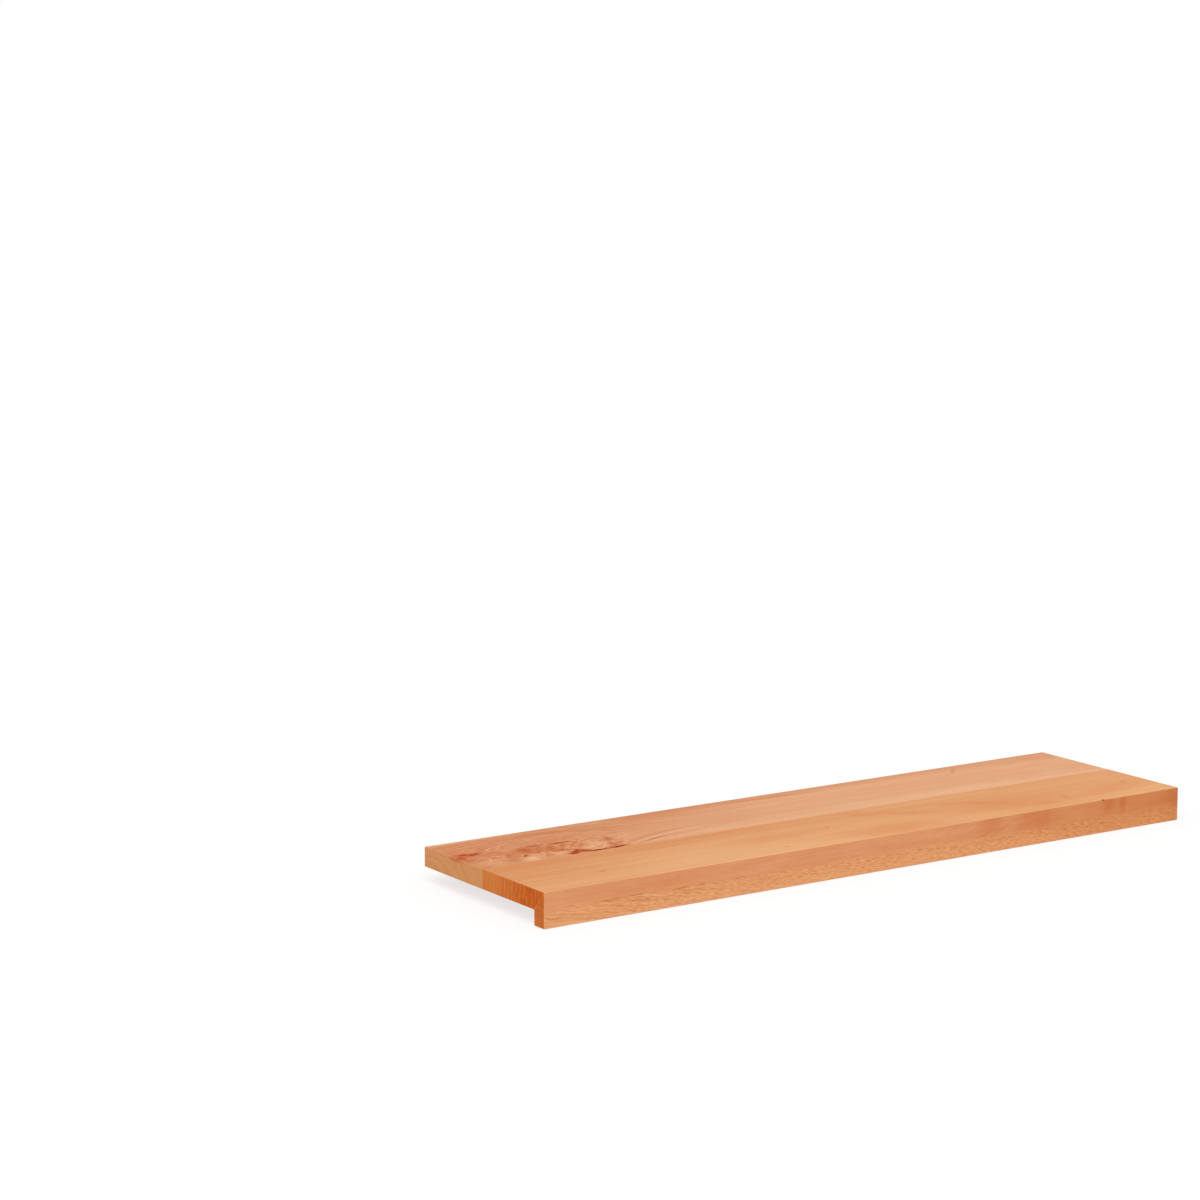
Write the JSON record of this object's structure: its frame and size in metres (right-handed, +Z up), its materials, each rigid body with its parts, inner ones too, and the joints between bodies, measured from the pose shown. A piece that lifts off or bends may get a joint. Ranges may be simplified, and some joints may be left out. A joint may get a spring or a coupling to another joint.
{
  "type": "stair tread",
  "caption": "Solid beech stair tread: edge-glued boards with a mitred front strip that forms the nosing and hangs below the underside as a lip.",
  "frame": {"origin": "midway along the tread and midway from the front face to the back edge, level with the foot of the front lip", "axes": "+X along the tread across the stair, -Y out of the front face towards the person climbing, +Z up out of the walking surface"},
  "size_m": [1, 0.27, 0.044],
  "materials": {
    "beech_back_board": "planed and sanded, pinkish beech with knots and bark inclusions, no film finish",
    "beech_front_board": "planed and sanded, golden beech with faint reddish heart streaks, no film finish",
    "beech_nosing_lip": "planed and sanded, golden beech with short slanted ray flecks, no film finish"
  },
  "bodies": {
    "root": {"back_board": "beech_back_board", "front_board": "beech_front_board", "nosing_lip": "beech_nosing_lip"}
  },
  "joints": []
}
